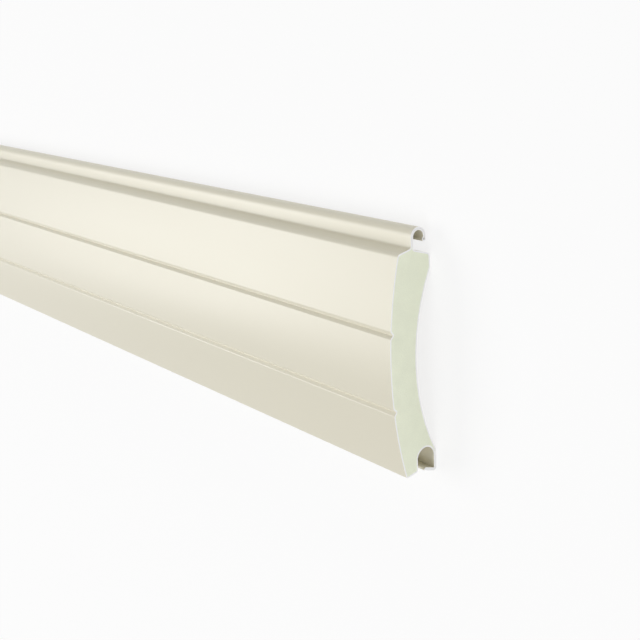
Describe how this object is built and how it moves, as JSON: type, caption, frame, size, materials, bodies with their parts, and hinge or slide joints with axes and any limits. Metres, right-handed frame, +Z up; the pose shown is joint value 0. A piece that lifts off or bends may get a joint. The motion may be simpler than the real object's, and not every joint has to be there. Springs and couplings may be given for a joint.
{
  "type": "roller shutter slat",
  "caption": "Foam-filled roll-formed aluminium slat for a roller shutter, with a hook along its top edge and a channel along its bottom edge that link it to its neighbours.",
  "frame": {"origin": "middle of the slat's outline seen from above, on the floor plane under its back", "axes": "+X along the length, +Y from the channel edge to the hook edge, +Z up out of the front face; the slat lies on its back"},
  "size_m": [1, 0.0854, 0.0185],
  "materials": {
    "coated_aluminium": "satin",
    "rigid_foam": "matte"
  },
  "bodies": {
    "root": {"aluminium_skin": "coated_aluminium", "foam_core": "rigid_foam"}
  },
  "joints": []
}
